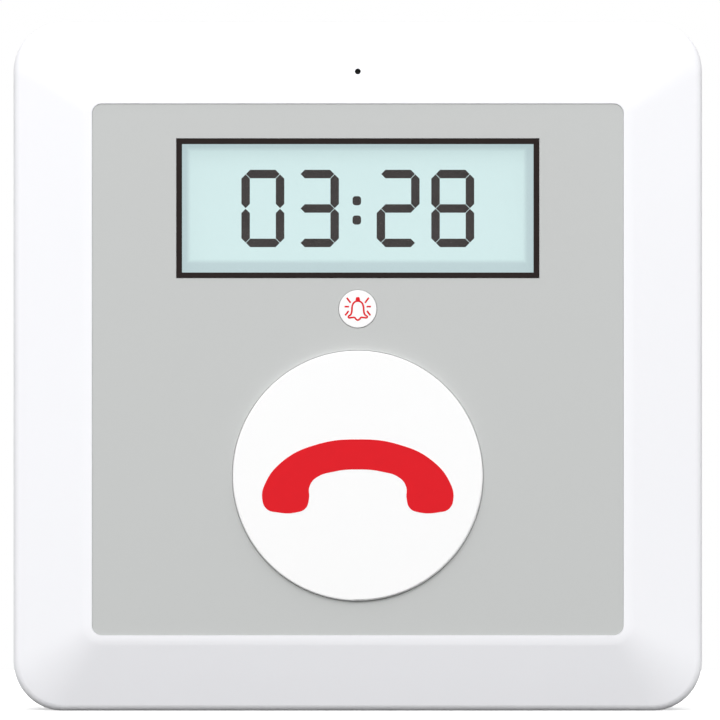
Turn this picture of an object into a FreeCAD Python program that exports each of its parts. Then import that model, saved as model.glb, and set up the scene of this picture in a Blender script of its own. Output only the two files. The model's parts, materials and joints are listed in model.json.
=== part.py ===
"""Medical alert base station: a square desk and wall unit with a clock display,
a large help key, a small alarm key, a folding rear stand and all its inner parts.

The unit stands upright on its lower side. +X is to the right, +Y goes from the
front face to the back, +Z is up. The origin is at the centre of the footprint.
"""
import FreeCAD, Part
import math
import os
import re

import Sketcher
from FreeCAD import Placement, Rotation, Vector

# ---------------------------------------------------------------------------
# Driving dimensions, in millimetres and degrees
# ---------------------------------------------------------------------------
SIZES = {
    # casing
    "body_width": 140.0,
    "body_height": 140.0,
    "body_depth": 28.0,
    "corner_radius": 10.0,
    "wall": 2.4,
    "front_shell_depth": 15.0,
    "bezel_drop": 4.0,
    "lip_width": 1.2,
    "lip_corner_radius": 3.2,
    "lip_blend_radius": 7.0,
    "outer_edge_radius": 1.6,
    "rear_edge_radius": 2.0,
    "tongue_thickness": 1.2,
    "tongue_height": 1.5,
    "seam_gap": 0.1,
    "seam_reveal": 0.3,
    # grey panel
    "panel_width": 107.8,
    "panel_height": 107.8,
    "panel_corner_radius": 2.0,
    "panel_drop": 0.6,
    "panel_recess": 1.0,
    "panel_thickness": 0.8,
    "panel_gap": 0.05,
    "panel_floor": 2.0,
    # display
    "display_width": 73.5,
    "display_height": 28.2,
    "display_rise": 2.5,
    "display_line": 1.05,
    "display_proud": 0.1,
    "display_gap": 0.1,
    "window_margin": 0.9,
    "window_thickness": 1.0,
    "display_air_gap": 0.15,
    "glass_thickness": 2.4,
    "glass_margin": 0.6,
    "holder_wall": 1.2,
    "holder_lip": 0.8,
    "light_guide_gap": 0.2,
    "lamp_clearance": 0.8,
    "light_guide_height": 18.0,
    "contact_strip_width": 2.0,
    "contact_strip_length": 60.0,
    "lamp_gap": 0.3,
    "lamp_depth": 1.4,
    "lamp_rise": 2.4,
    "lamp_length": 3.2,
    # help key
    "help_key_diameter": 50.8,
    "help_key_drop": 21.6,
    "help_key_proud": 0.8,
    "help_key_face": 2.0,
    "help_key_edge_radius": 0.4,
    "help_key_gap": 0.1,
    "help_key_travel": 1.2,
    "help_key_skirt": 1.4,
    "help_key_flange": 1.5,
    "flange_thickness": 1.0,
    "plunger_diameter": 8.0,
    "guide_wall": 1.5,
    "guide_base_diameter": 30.0,
    "guide_base_thickness": 1.5,
    "running_clearance": 0.08,
    "key_rest_gap": 0.1,
    "spring_wire": 0.7,
    "spring_turns": 4.0,
    # alarm key
    "alarm_key_diameter": 7.7,
    "alarm_key_rise": 8.45,
    "alarm_key_proud": 0.1,
    "alarm_key_gap": 0.08,
    "alarm_key_flange": 0.9,
    "alarm_key_stem": 4.0,
    "alarm_edge_radius": 0.2,
    # switches
    "switch_side": 6.0,
    "switch_height": 3.6,
    "switch_stem_diameter": 3.4,
    "switch_stem_height": 1.4,
    "switch_bore_depth": 2.4,
    # microphone
    "mic_rise": 5.4,
    "mic_hole_diameter": 1.2,
    "mic_diameter": 6.0,
    "mic_length": 2.7,
    "boot_wall": 1.1,
    "mic_cup_wall": 1.0,
    "mic_pin": 0.6,
    "mic_pin_pitch": 2.54,
    # main board
    "boss_height": 8.0,
    "boss_diameter": 6.0,
    "board_thickness": 1.6,
    "board_side_inset": 14.0,
    "board_head_inset": 7.0,
    "board_foot": 13.0,
    "board_tab_reach": 7.5,
    "board_tab_height": 46.0,
    "board_screw_inset": 6.0,
    "board_screw_diameter": 2.5,
    "board_screw_head": 4.6,
    "board_screw_head_height": 1.8,
    "board_screw_length": 7.0,
    "thread_clearance": 0.04,
    "cross_slot": 0.8,
    # parts on the main board
    "module_side": 22.0,
    "module_rise": 2.8,
    "module_rim": 0.6,
    "module_inset": 10.0,
    "chip_side": 12.0,
    "chip_rise": 1.4,
    "chip_left": 6.0,
    "card_width": 20.0,
    "card_height": 30.0,
    "card_thickness": 1.2,
    "card_inset": 12.0,
    "card_can_side": 9.0,
    "sim_width": 16.0,
    "sim_height": 14.0,
    "sim_rise": 2.0,
    "sim_mouth": 0.9,
    "sim_inset": 6.0,
    "capacitor_diameter": 8.0,
    "capacitor_height": 9.0,
    "capacitor_inset": 8.0,
    "capacitor_pitch": 11.0,
    "chips_rise": 19.0,
    # housing screws
    "case_screw_side_inset": 10.0,
    "case_screw_inset": 13.0,
    "case_screw_diameter": 3.0,
    "case_screw_head": 5.6,
    "case_screw_head_height": 2.0,
    "case_screw_depth": 9.0,
    "case_screw_bite": 8.0,
    "case_boss_diameter": 8.8,
    "pillar_diameter": 7.0,
    # power inlet and power switch
    "inlet_height": 36.0,
    "inlet_axis_rise": 6.5,
    "inlet_side": 9.0,
    "inlet_box_height": 10.8,
    "inlet_length": 13.0,
    "inlet_bore": 6.2,
    "inlet_bore_depth": 9.5,
    "inlet_pin": 2.0,
    "inlet_pin_length": 8.5,
    "inlet_wall_gap": 0.3,
    "power_switch_height": 60.0,
    "power_switch_length": 12.0,
    "power_switch_back": 2.3,
    "power_switch_reach": 6.0,
    "power_knob_travel": 3.0,
    "power_knob_length": 3.0,
    "power_knob_thickness": 2.0,
    "power_knob_shy": 0.3,
    "knob_groove": 0.4,
    "power_scoop_depth": 1.0,
    "power_scoop_margin": 2.0,
    "power_slot_depth": 2.2,
    # loudspeaker
    "speaker_diameter": 40.0,
    "speaker_rise": 29.0,
    "speaker_depth": 7.2,
    "speaker_flange": 1.2,
    "speaker_gasket": 0.8,
    "speaker_rim": 3.0,
    "magnet_diameter": 20.0,
    "magnet_thickness": 3.4,
    "speaker_cup_wall": 1.4,
    "speaker_cup_gap": 0.3,
    "slot_width": 1.8,
    "slot_pitch": 4.6,
    # battery
    "battery_width": 56.0,
    "battery_height": 34.0,
    "battery_thickness": 5.6,
    "battery_foot": 18.0,
    "battery_foam": 0.8,
    "battery_corner": 2.5,
    "battery_rib": 1.6,
    "battery_rib_gap": 0.4,
    "battery_plug_left": 27.0,
    "battery_plug_rise": 8.0,
    # wall mounting
    "keyhole_spacing": 70.0,
    "keyhole_inset": 22.0,
    "keyhole_entry": 8.5,
    "keyhole_slot": 4.4,
    "keyhole_lift": 8.0,
    # rear pads
    "pad_diameter": 10.0,
    "pad_thickness": 1.4,
    "pad_proud": 0.8,
    "pad_edge_radius": 0.4,
    "pad_side_inset": 14.0,
    "pad_inset": 26.0,
    # stand
    "stand_width": 44.0,
    "stand_base": 8.0,
    "stand_thickness": 3.0,
    "stand_shy": 0.2,
    "stand_edge_radius": 0.5,
    "stand_hinge_drop": 8.0,
    "stand_heel": 2.3,
    "stand_recess_depth": 4.4,
    "stand_side_gap": 0.5,
    "stand_floor": 2.0,
    "stand_pin_diameter": 2.0,
    "stand_pin_seat": 1.6,
    "pin_fit": 0.02,
    "stand_foot_height": 5.0,
    "stand_foot_inset": 6.0,
    "grip_inset": 12.0,
    "grip_pitch": 3.0,
    "grip_width": 1.2,
    "grip_depth": 0.5,
    "finger_notch_width": 18.0,
    "finger_notch_height": 3.6,
    # wiring
    "wire_diameter": 1.2,
    "coax_diameter": 1.4,
    "solder_depth": 0.8,
    "lead_lift": 4.0,
    "lead_bend": 5.0,
    "lead_drift": 1.0,
    "socket_inset": 4.0,
    "speaker_lead_inset": 3.4,
    "speaker_plug_drop": 19.0,
    "battery_lead_inset": 7.0,
    "battery_lead_depth": 1.4,
    "foam_inset": 4.0,
    "module_lead_rise": 1.0,
    "module_lead_climb": 16.0,
    "aerial_lead_drop": 9.0,
    "aerial_back_gap": 1.0,
    "receiver_lead_rise": 14.0,
    "receiver_lead_climb": 12.0,
    "receiver_aerial_turn": 15.0,
    "receiver_aerial_length": 32.0,
    "aerial_length": 48.0,
    "aerial_gap": 0.1,
    "aerial_thickness": 0.6,
    "aerial_left": 52.0,
    "plug_width": 6.0,
    "plug_height": 4.2,
    "plug_depth": 4.0,
}

doc = FreeCAD.newDocument("AlertBaseStation")
sheet = doc.addObject("Spreadsheet::Sheet", "Sizes")
for row, (alias, number) in enumerate(SIZES.items(), start=1):
    sheet.set(f"A{row}", alias)
    sheet.set(f"B{row}", str(number))
    sheet.setAlias(f"B{row}", alias)
doc.recompute()

# ---------------------------------------------------------------------------
# Expressions: every size is a formula on the sheet's cells
# ---------------------------------------------------------------------------
DERIVED = {}
FUNCTIONS = ("sqrt", "pow", "min", "max")


def formula(text):
    """Spell out a formula so that each name in it points to the sheet."""
    def spell(match):
        name = match.group()
        if name in DERIVED:
            return DERIVED[name]
        if name in SIZES:
            return "Sizes." + name
        if name in FUNCTIONS:
            return name
        raise NameError(name)
    return re.sub(r"[a-z][a-z_]*", spell, str(text))


def define(name, text):
    """Name a place that follows from the driving dimensions."""
    DERIVED[name] = "(" + formula(text) + ")"


def value(text):
    """Work out a formula as a number."""
    return float(sheet.evalExpression(formula(text)))


# levels along Y, from the front face to the back
define("front", "-body_depth / 2")
define("back", "body_depth / 2")
define("edge_level", "front + bezel_drop")
define("seam", "front + front_shell_depth")
define("panel_seat", "front + panel_recess")
define("ceiling", "panel_seat + panel_floor")
define("board_front", "ceiling + boss_height")
define("board_back", "board_front + board_thickness")
define("back_inside", "back - wall")
define("boss_root", "ceiling - 0.3")

# heights along Z
define("middle", "body_height / 2")
define("panel_middle", "middle - panel_drop")
define("help_key_middle", "panel_middle - help_key_drop")
define("alarm_key_middle", "help_key_middle + help_key_diameter / 2 + alarm_key_rise")
define("display_middle",
       "alarm_key_middle + alarm_key_diameter / 2 + display_rise + display_height / 2")
define("mic_middle", "panel_middle + panel_height / 2 + lip_width + mic_rise")

# the sloping bezel: the inner wall runs parallel to the outer one
define("lip_half", "panel_width / 2 + lip_width")
define("slope_run", "body_width / 2 - lip_half")
define("slope", "bezel_drop / slope_run")
define("slope_wall", "wall * sqrt(1 + slope * slope)")
define("hollow_start_half", "lip_half + (ceiling - front - slope_wall) / slope")
define("hollow_level", "front + (slope_run - wall) * slope + slope_wall")
define("inner_width", "body_width - 2 * wall")
define("inner_height", "body_height - 2 * wall")
define("inner_radius", "corner_radius - wall")


# ---------------------------------------------------------------------------
# Modelling helpers
# ---------------------------------------------------------------------------
PLANE_SIGN = {"XY_Plane": "", "XZ_Plane": "-", "YZ_Plane": ""}


def body(label):
    return doc.addObject("PartDesign::Body", label)


def sketch(owner, label, level, plane="XZ_Plane"):
    """Start a sketch on one of the body's own planes, moved to a level."""
    new = owner.newObject("Sketcher::SketchObject", f"{owner.Name}_{label}")
    origin_plane = [f for f in owner.Origin.OriginFeatures if f.Role == plane][0]
    new.AttachmentSupport = [(origin_plane, "")]
    new.MapMode = "FlatFace"
    offset = f"{PLANE_SIGN[plane]}({formula(level)})"
    new.setExpression("AttachmentOffset.Base.z", offset)
    return new


def bind(drawing, kind, *parts):
    """Add a dimension whose last part is a formula."""
    *where, text = parts
    index = drawing.addConstraint(Sketcher.Constraint(kind, *where, value(text)))
    drawing.setExpression(f"Constraints[{index}]", formula(text))


def rectangle(drawing, u, v, width, height, radius=None):
    """Draw a rectangle about (u, v), with round corners if a radius is given."""
    left = f"({u}) - ({width}) / 2"
    right = f"({u}) + ({width}) / 2"
    low = f"({v}) - ({height}) / 2"
    high = f"({v}) + ({height}) / 2"
    x0, x1, z0, z1 = value(left), value(right), value(low), value(high)
    r = value(radius) if radius else 0.0
    first = drawing.GeometryCount

    def line(ax, az, bx, bz):
        return Part.LineSegment(Vector(ax, az, 0), Vector(bx, bz, 0))

    sides = [line(x0 + r, z0, x1 - r, z0), line(x1, z0 + r, x1, z1 - r),
             line(x1 - r, z1, x0 + r, z1), line(x0, z1 - r, x0, z0 + r)]
    drawing.addGeometry(sides, False)
    bottom, side_right, top, side_left = range(first, first + 4)
    joins = [(bottom, side_right), (side_right, top), (top, side_left), (side_left, bottom)]
    if radius:
        centres = [(x1 - r, z0 + r), (x1 - r, z1 - r), (x0 + r, z1 - r), (x0 + r, z0 + r)]
        for turn, (cx, cz) in enumerate(centres):
            round_corner = Part.Circle(Vector(cx, cz, 0), Vector(0, 0, 1), r)
            start = (turn - 1) * math.pi / 2
            drawing.addGeometry(Part.ArcOfCircle(round_corner, start, start + math.pi / 2), False)
        for turn, (before, after) in enumerate(joins):
            corner = first + 4 + turn
            drawing.addConstraint(Sketcher.Constraint("Tangent", before, 2, corner, 1))
            drawing.addConstraint(Sketcher.Constraint("Tangent", corner, 2, after, 1))
            if turn:
                drawing.addConstraint(Sketcher.Constraint("Equal", first + 4, corner))
        bind(drawing, "Radius", first + 4, radius)
    else:
        for before, after in joins:
            drawing.addConstraint(Sketcher.Constraint("Coincident", before, 2, after, 1))
    for flat in (bottom, top):
        drawing.addConstraint(Sketcher.Constraint("Horizontal", flat))
    for upright in (side_right, side_left):
        drawing.addConstraint(Sketcher.Constraint("Vertical", upright))
    bind(drawing, "DistanceX", -1, 1, side_left, 1, left)
    bind(drawing, "DistanceX", -1, 1, side_right, 1, right)
    bind(drawing, "DistanceY", -1, 1, bottom, 1, low)
    bind(drawing, "DistanceY", -1, 1, top, 1, high)


def circle(drawing, u, v, diameter):
    centre = Vector(value(u), value(v), 0)
    shape = Part.Circle(centre, Vector(0, 0, 1), value(diameter) / 2)
    index = drawing.addGeometry(shape, False)
    bind(drawing, "Diameter", index, diameter)
    bind(drawing, "DistanceX", -1, 1, index, 3, u)
    bind(drawing, "DistanceY", -1, 1, index, 3, v)


def polygon(drawing, points):
    """Draw a closed outline through (u, v) points, each bound to its formulas."""
    first = drawing.GeometryCount
    spots = [Vector(value(u), value(v), 0) for u, v in points]
    for index, spot in enumerate(spots):
        after = spots[(index + 1) % len(spots)]
        drawing.addGeometry(Part.LineSegment(spot, after), False)
    for index, (u, v) in enumerate(points):
        following = first + (index + 1) % len(points)
        drawing.addConstraint(Sketcher.Constraint("Coincident", first + index, 2, following, 1))
        bind(drawing, "DistanceX", -1, 1, first + index, 1, u)
        bind(drawing, "DistanceY", -1, 1, first + index, 1, v)


def feature(owner, kind, drawing, length=None, reverse=False, **settings):
    new = owner.newObject(f"PartDesign::{kind}", f"{drawing.Name}_{kind}")
    new.Profile = drawing
    new.Reversed = reverse
    if length is not None:
        new.setExpression("Length", formula(length))
    for name, setting in settings.items():
        setattr(new, name, setting)
    drawing.Visibility = False
    return new


def pad_back(owner, drawing, length):
    """Add material from a front-facing sketch towards the back."""
    return feature(owner, "Pad", drawing, length, reverse=True)


def pad_front(owner, drawing, length):
    """Add material from a front-facing sketch towards the front."""
    return feature(owner, "Pad", drawing, length)


def cut_back(owner, drawing, length):
    """Cut from a front-facing sketch towards the back."""
    return feature(owner, "Pocket", drawing, length)


def cut_front(owner, drawing, length):
    """Cut from a front-facing sketch towards the front."""
    return feature(owner, "Pocket", drawing, length, reverse=True)


def loft(owner, kind, start, end):
    new = owner.newObject(f"PartDesign::{kind}Loft", f"{start.Name}_{kind}Loft")
    new.Profile = start
    new.Sections = [end]
    new.Ruled = True
    return new


def edges_on_level(shape, level):
    """Name the edges that lie wholly on one level along Y."""
    y = value(level)
    names = []
    for index, edge in enumerate(shape.Edges, start=1):
        box = edge.BoundBox
        if abs(box.YMin - y) < 1e-4 and abs(box.YMax - y) < 1e-4:
            names.append(f"Edge{index}")
    return names


def fillet(owner, base, names, radius):
    new = owner.newObject("PartDesign::Fillet", f"{base.Name}_Fillet")
    new.Base = (base, names)
    new.setExpression("Radius", formula(radius))
    return new


def turned(label, axis_u, axis_v, points):
    """Revolve an outline of (radius, y) points about a line parallel to Y."""
    owner = body(label)
    drawing = sketch(owner, "profile", axis_v, "XY_Plane")
    polygon(drawing, [(f"({axis_u}) + ({radius})", y) for radius, y in points])
    spin = owner.newObject("PartDesign::Revolution", f"{label}_spin")
    spin.Profile = drawing
    axis = sketch(owner, "axis", axis_v, "XY_Plane")
    start = Vector(value(axis_u), value("front"), 0)
    end = Vector(value(axis_u), value("back"), 0)
    axis.addGeometry(Part.LineSegment(start, end), False)
    bind(axis, "DistanceX", -1, 1, 0, 1, axis_u)
    bind(axis, "DistanceX", -1, 1, 0, 2, axis_u)
    spin.ReferenceAxis = (axis, ["Edge1"])
    spin.Angle = 360
    return owner


def place(item, x, y, z):
    for letter, text in zip("xyz", (x, y, z)):
        item.setExpression(f"Placement.Base.{letter}", formula(text))


def block(label, x, y, z, width, depth, height):
    """A box from its low corner."""
    new = doc.addObject("Part::Box", label)
    new.setExpression("Length", formula(width))
    new.setExpression("Width", formula(depth))
    new.setExpression("Height", formula(height))
    place(new, x, y, z)
    return new


AXIS_TURN = {"x": Rotation(Vector(0, 1, 0), 90), "y": Rotation(Vector(1, 0, 0), -90),
             "z": Rotation()}


def rod(label, x, y, z, diameter, length, along="y"):
    """A cylinder from the centre of its low end, along one axis."""
    new = doc.addObject("Part::Cylinder", label)
    new.setExpression("Radius", formula(f"({diameter}) / 2"))
    new.setExpression("Height", formula(length))
    new.Placement = Placement(Vector(), AXIS_TURN[along])
    place(new, x, y, z)
    return new


def combine(kind, label, base, tool):
    new = doc.addObject(f"Part::{kind}", label)
    new.Base = base
    new.Tool = tool
    return new


def group(label, members):
    """Several like solids that share one node."""
    new = doc.addObject("Part::Compound", label)
    new.Links = members
    return new


SUBPARTS = []


def keep(item):
    """List a finished sub-part for export."""
    SUBPARTS.append(item)
    return item


def wire_path(points):
    """Straight runs joined by tangent arcs, through the given corners."""
    edges = []
    here = points[0]
    for before, corner, after in zip(points, points[1:], points[2:]):
        back = before - corner
        ahead = after - corner
        half_turn = (math.pi - back.getAngle(ahead)) / 2
        shorter = min(back.Length, ahead.Length)
        radius = 0.45 * shorter / math.tan(half_turn)
        reach = 0.45 * shorter
        start = corner + back.normalize() * reach
        end = corner + ahead.normalize() * reach
        inward = (back + ahead).normalize()
        middle = corner + inward * (radius / math.cos(half_turn) - radius)
        edges.append(Part.makeLine(here, start))
        edges.append(Part.Arc(start, middle, end).toShape())
        here = end
    edges.append(Part.makeLine(here, points[-1]))
    return Part.Wire(edges)


def swept(label, points, diameter):
    """A round section carried along a path through the given corners."""
    path = wire_path(points)
    first = points[1] - points[0]
    section = Part.Wire(Part.Edge(Part.Circle(points[0], first, value(diameter) / 2)))
    solid = path.makePipeShell([section], True, False)
    expected = math.pi * (value(diameter) / 2) ** 2 * path.Length
    if abs(solid.Volume - expected) > 0.02 * expected:
        raise RuntimeError(f"{label} has the wrong volume")
    new = doc.addObject("Part::Feature", label)
    new.Shape = solid
    return keep(new)


def wire(label, route, diameter):
    """An insulated wire along a route of formulas."""
    return swept(label, [Vector(*(value(part) for part in spot)) for spot in route], diameter)


CORNERS_PER_TURN = 8


def make_coil(label, axis_height, radius, start, rise, diameter):
    """A coil spring along Y: short arcs, tangent to each other, that climb steadily."""
    corners = int(value("spring_turns") * CORNERS_PER_TURN)
    reach = value(radius) / math.cos(math.pi / CORNERS_PER_TURN)
    points = []
    for index in range(corners + 1):
        turn = 2 * math.pi * index / CORNERS_PER_TURN
        points.append(Vector(reach * math.cos(turn), value(start) + value(rise) * index / corners,
                             value(axis_height) + reach * math.sin(turn)))
    return swept(label, points, diameter)


# ---------------------------------------------------------------------------
# Casing
# ---------------------------------------------------------------------------
define("case_screw_side", "body_width / 2 - case_screw_side_inset")
define("case_screw_low", "case_screw_inset")
define("case_screw_high", "body_height - case_screw_inset")
define("board_right", "body_width / 2 - board_side_inset")
define("board_left", "-board_right")
define("board_top", "body_height - board_head_inset")
define("tab_right", "board_right + board_tab_reach")
define("tab_middle", "(inlet_height + power_switch_height) / 2")
define("tab_low", "tab_middle - board_tab_height / 2")
define("tab_high", "tab_middle + board_tab_height / 2")
define("board_screw_side", "board_right - board_screw_inset")
define("board_screw_low", "board_foot + board_screw_inset")
define("board_screw_high", "board_top - board_screw_inset")
define("opening_width", "display_width + 2 * display_gap")
define("opening_height", "display_height + 2 * display_gap")
define("help_hole", "help_key_diameter + 2 * help_key_gap")
define("alarm_hole", "alarm_key_diameter + 2 * alarm_key_gap")
define("boot_outer", "mic_diameter + 2 * boot_wall")
define("boot_front", "hollow_level - 1.2")
define("mic_front", "boot_front + boot_wall")

CASE_SCREWS = [(side + "case_screw_side", height)
               for side in ("-", "") for height in ("case_screw_low", "case_screw_high")]
BOARD_SCREWS = [(side + "board_screw_side", height)
                for side in ("-", "") for height in ("board_screw_low", "board_screw_high")]


def circles(owner, label, level, spots, diameter):
    drawing = sketch(owner, label, level)
    for u, v in spots:
        circle(drawing, u, v, diameter)
    return drawing


def make_front_housing():
    """Front shell: flat lip, sloping bezel, side walls, bosses and openings."""
    shell = body("front_housing")
    lip = sketch(shell, "lip", "front")
    rectangle(lip, "0", "panel_middle", "2 * lip_half", "panel_height + 2 * lip_width",
              "lip_corner_radius")
    outline = sketch(shell, "outline", "edge_level")
    rectangle(outline, "0", "middle", "body_width", "body_height", "corner_radius")
    loft(shell, "Additive", lip, outline)
    skirt = sketch(shell, "skirt", "edge_level")
    rectangle(skirt, "0", "middle", "body_width", "body_height", "corner_radius")
    walls = pad_back(shell, skirt, "seam - edge_level")
    doc.recompute()
    rim = fillet(shell, walls, edges_on_level(walls.Shape, "edge_level"), "outer_edge_radius")
    doc.recompute()
    blend = fillet(shell, rim, edges_on_level(rim.Shape, "front"), "lip_blend_radius")
    doc.recompute()
    fillet(shell, blend, edges_on_level(blend.Shape, "seam"), "seam_reveal")

    ceiling = sketch(shell, "ceiling", "ceiling")
    rectangle(ceiling, "0", "panel_middle", "2 * hollow_start_half",
              "2 * (hollow_start_half - lip_half) + panel_height + 2 * lip_width",
              "lip_corner_radius")
    hollow = sketch(shell, "hollow", "hollow_level")
    rectangle(hollow, "0", "middle", "inner_width", "inner_height", "inner_radius")
    loft(shell, "Subtractive", ceiling, hollow)
    well = sketch(shell, "well", "hollow_level")
    rectangle(well, "0", "middle", "inner_width", "inner_height", "inner_radius")
    cut_back(shell, well, "seam - hollow_level")

    recess = sketch(shell, "recess", "front")
    rectangle(recess, "0", "panel_middle", "panel_width + 2 * panel_gap",
              "panel_height + 2 * panel_gap", "panel_corner_radius")
    cut_back(shell, recess, "panel_recess")
    window = sketch(shell, "window", "panel_seat")
    rectangle(window, "0", "display_middle", "opening_width", "opening_height")
    cut_back(shell, window, "panel_floor")
    cut_back(shell, circles(shell, "help_hole", "panel_seat", [("0", "help_key_middle")],
                            "help_hole"), "panel_floor")
    cut_back(shell, circles(shell, "alarm_hole", "panel_seat", [("0", "alarm_key_middle")],
                            "alarm_hole"), "panel_floor")

    cup = circles(shell, "mic_cup", "boss_root", [("0", "mic_middle")],
                  "boot_outer + 2 * (mic_cup_wall + seam_gap)")
    pad_back(shell, cup, "boot_front + mic_length - boss_root")
    cup_bore = circles(shell, "mic_cup_bore", "boot_front", [("0", "mic_middle")],
                       "boot_outer + 2 * seam_gap")
    cut_back(shell, cup_bore, "mic_length + wall")
    mic_hole = circles(shell, "mic_hole", "front", [("0", "mic_middle")], "mic_hole_diameter")
    cut_back(shell, mic_hole, "seam - front")

    pillars = circles(shell, "pillars", "boss_root", CASE_SCREWS, "pillar_diameter")
    pad_back(shell, pillars, "seam - boss_root")
    pillar_bores = circles(shell, "pillar_bores", "seam", CASE_SCREWS,
                           "case_screw_diameter + 2 * thread_clearance")
    cut_front(shell, pillar_bores, "case_screw_bite + 0.5")
    bosses = circles(shell, "bosses", "boss_root", BOARD_SCREWS, "boss_diameter")
    pad_back(shell, bosses, "board_front - boss_root")
    boss_bores = circles(shell, "boss_bores", "board_front", BOARD_SCREWS,
                         "board_screw_diameter + 2 * thread_clearance")
    cut_front(shell, boss_bores, "board_screw_length - board_thickness + 0.5")
    return keep(shell)


def make_front_fascia():
    """Grey sheet that lies in the recess, with its three openings."""
    sheet_part = body("front_fascia")
    outline = sketch(sheet_part, "outline", "panel_seat")
    rectangle(outline, "0", "panel_middle", "panel_width", "panel_height",
              "panel_corner_radius - panel_gap")
    rectangle(outline, "0", "display_middle", "opening_width", "opening_height")
    circle(outline, "0", "help_key_middle", "help_hole")
    circle(outline, "0", "alarm_key_middle", "alarm_hole")
    pad_front(sheet_part, outline, "panel_thickness")
    return keep(sheet_part)


def make_display_bezel():
    """Black picture frame around the clock display."""
    frame = body("display_bezel")
    outline = sketch(frame, "outline", "ceiling")
    rectangle(outline, "0", "display_middle", "display_width", "display_height")
    rectangle(outline, "0", "display_middle", "display_width - 2 * display_line",
              "display_height - 2 * display_line")
    pad_front(frame, outline, "panel_floor + panel_thickness + display_proud")
    return keep(frame)


def make_rear_housing():
    """Rear shell: walls, loudspeaker slots, keyholes, stand recess and inlets."""
    shell = body("rear_housing")
    outline = sketch(shell, "outline", "seam")
    rectangle(outline, "0", "middle", "body_width", "body_height", "corner_radius")
    block_pad = pad_back(shell, outline, "back - seam")
    doc.recompute()
    rim = fillet(shell, block_pad, edges_on_level(block_pad.Shape, "back"), "rear_edge_radius")
    doc.recompute()
    fillet(shell, rim, edges_on_level(rim.Shape, "seam"), "seam_reveal")
    well = sketch(shell, "well", "seam")
    rectangle(well, "0", "middle", "inner_width", "inner_height", "inner_radius")
    cut_back(shell, well, "back_inside - seam")

    tongue = sketch(shell, "tongue", "seam - tongue_height")
    for inset in ("seam_gap", "seam_gap + tongue_thickness"):
        rectangle(tongue, "0", "middle", f"inner_width - 2 * ({inset})",
                  f"inner_height - 2 * ({inset})", f"inner_radius - ({inset})")
    pad_back(shell, tongue, "tongue_height")
    root = sketch(shell, "tongue_root", "seam")
    rectangle(root, "0", "middle", "body_width - wall", "body_height - wall",
              "corner_radius - wall / 2")
    rectangle(root, "0", "middle", "inner_width - 2 * (seam_gap + tongue_thickness)",
              "inner_height - 2 * (seam_gap + tongue_thickness)",
              "inner_radius - seam_gap - tongue_thickness")
    pad_back(shell, root, "tongue_height")
    tongue_gap = sketch(shell, "tongue_gap", "seam - tongue_height")
    rectangle(tongue_gap, "inner_width / 2 - tongue_thickness", "tab_middle",
              "2 * tongue_thickness", "board_tab_height")
    cut_back(shell, tongue_gap, "2 * tongue_height")

    bay = sketch(shell, "stand_bay", "stand_bay_level")
    rectangle(bay, "0", "stand_bay_middle", "stand_recess_width + 2 * stand_floor",
              "stand_recess_top - stand_recess_foot + 2 * stand_floor")
    pad_back(shell, bay, "back_inside - stand_bay_level")
    recess = sketch(shell, "stand_recess", "back")
    rectangle(recess, "0", "stand_bay_middle", "stand_recess_width",
              "stand_recess_top - stand_recess_foot")
    cut_front(shell, recess, "stand_recess_depth")
    notch = sketch(shell, "finger_notch", "back")
    rectangle(notch, "0", "stand_recess_foot - finger_notch_height / 2 + 0.5",
              "finger_notch_width", "finger_notch_height + 1")
    cut_front(shell, notch, "back - back_inside - 0.6")

    posts = circles(shell, "posts", "seam", CASE_SCREWS, "case_boss_diameter")
    pad_back(shell, posts, "back_inside - seam")
    post_bores = circles(shell, "post_bores", "seam", CASE_SCREWS,
                         "case_screw_diameter + 0.4")
    cut_back(shell, post_bores, "back - seam")
    sinks = circles(shell, "post_sinks", "back", CASE_SCREWS, "case_screw_head + 0.6")
    cut_front(shell, sinks, "back - case_screw_seat")

    cup = sketch(shell, "speaker_cup", "back_inside - speaker_depth / 2")
    circle(cup, "0", "speaker_height", "speaker_cup_bore")
    circle(cup, "0", "speaker_height", "speaker_cup_bore + 2 * speaker_cup_wall")
    pad_back(shell, cup, "speaker_depth / 2")
    slots = sketch(shell, "slots", "back")
    for step in range(-3, 4):
        rise = f"{step} * slot_pitch"
        reach = f"2 * sqrt(pow(speaker_diameter / 2 - speaker_rim - slot_width; 2) - pow({rise}; 2))"
        rectangle(slots, "0", f"speaker_height + {rise}", reach, "slot_width",
                  "slot_width / 2 - 0.1")
    cut_front(shell, slots, "wall")

    keyholes = circles(shell, "keyholes", "back",
                       [("-keyhole_spacing / 2", "keyhole_height"),
                        ("keyhole_spacing / 2", "keyhole_height")], "keyhole_entry")
    cut_front(shell, keyholes, "wall")
    necks = sketch(shell, "keyhole_necks", "back")
    for side in ("-", ""):
        rectangle(necks, f"{side}keyhole_spacing / 2",
                  "keyhole_height + keyhole_lift / 2", "keyhole_slot",
                  "keyhole_lift + keyhole_slot", "keyhole_slot / 2 - 0.05")
    cut_front(shell, necks, "wall")

    seats = circles(shell, "pad_seats", "back", PAD_SPOTS, "pad_diameter + 2 * seam_gap")
    cut_front(shell, seats, "pad_thickness - pad_proud")

    inlet = sketch(shell, "inlet", "body_width / 2", "YZ_Plane")
    circle(inlet, "inlet_level", "inlet_height", "inlet_bore + 1")
    feature(shell, "Pocket", inlet, "wall + 0.5")
    scoop = sketch(shell, "switch_scoop", "body_width / 2", "YZ_Plane")
    rectangle(scoop, "switch_level", "power_switch_height", "knob_slot + 2 * power_scoop_margin",
              "knob_run + 2 * power_scoop_margin", "power_scoop_margin")
    feature(shell, "Pocket", scoop, "power_scoop_depth")
    slit = sketch(shell, "switch_slit", "body_width / 2", "YZ_Plane")
    rectangle(slit, "switch_level", "power_switch_height", "knob_slot", "knob_run")
    feature(shell, "Pocket", slit, "wall + 0.5")

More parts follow.
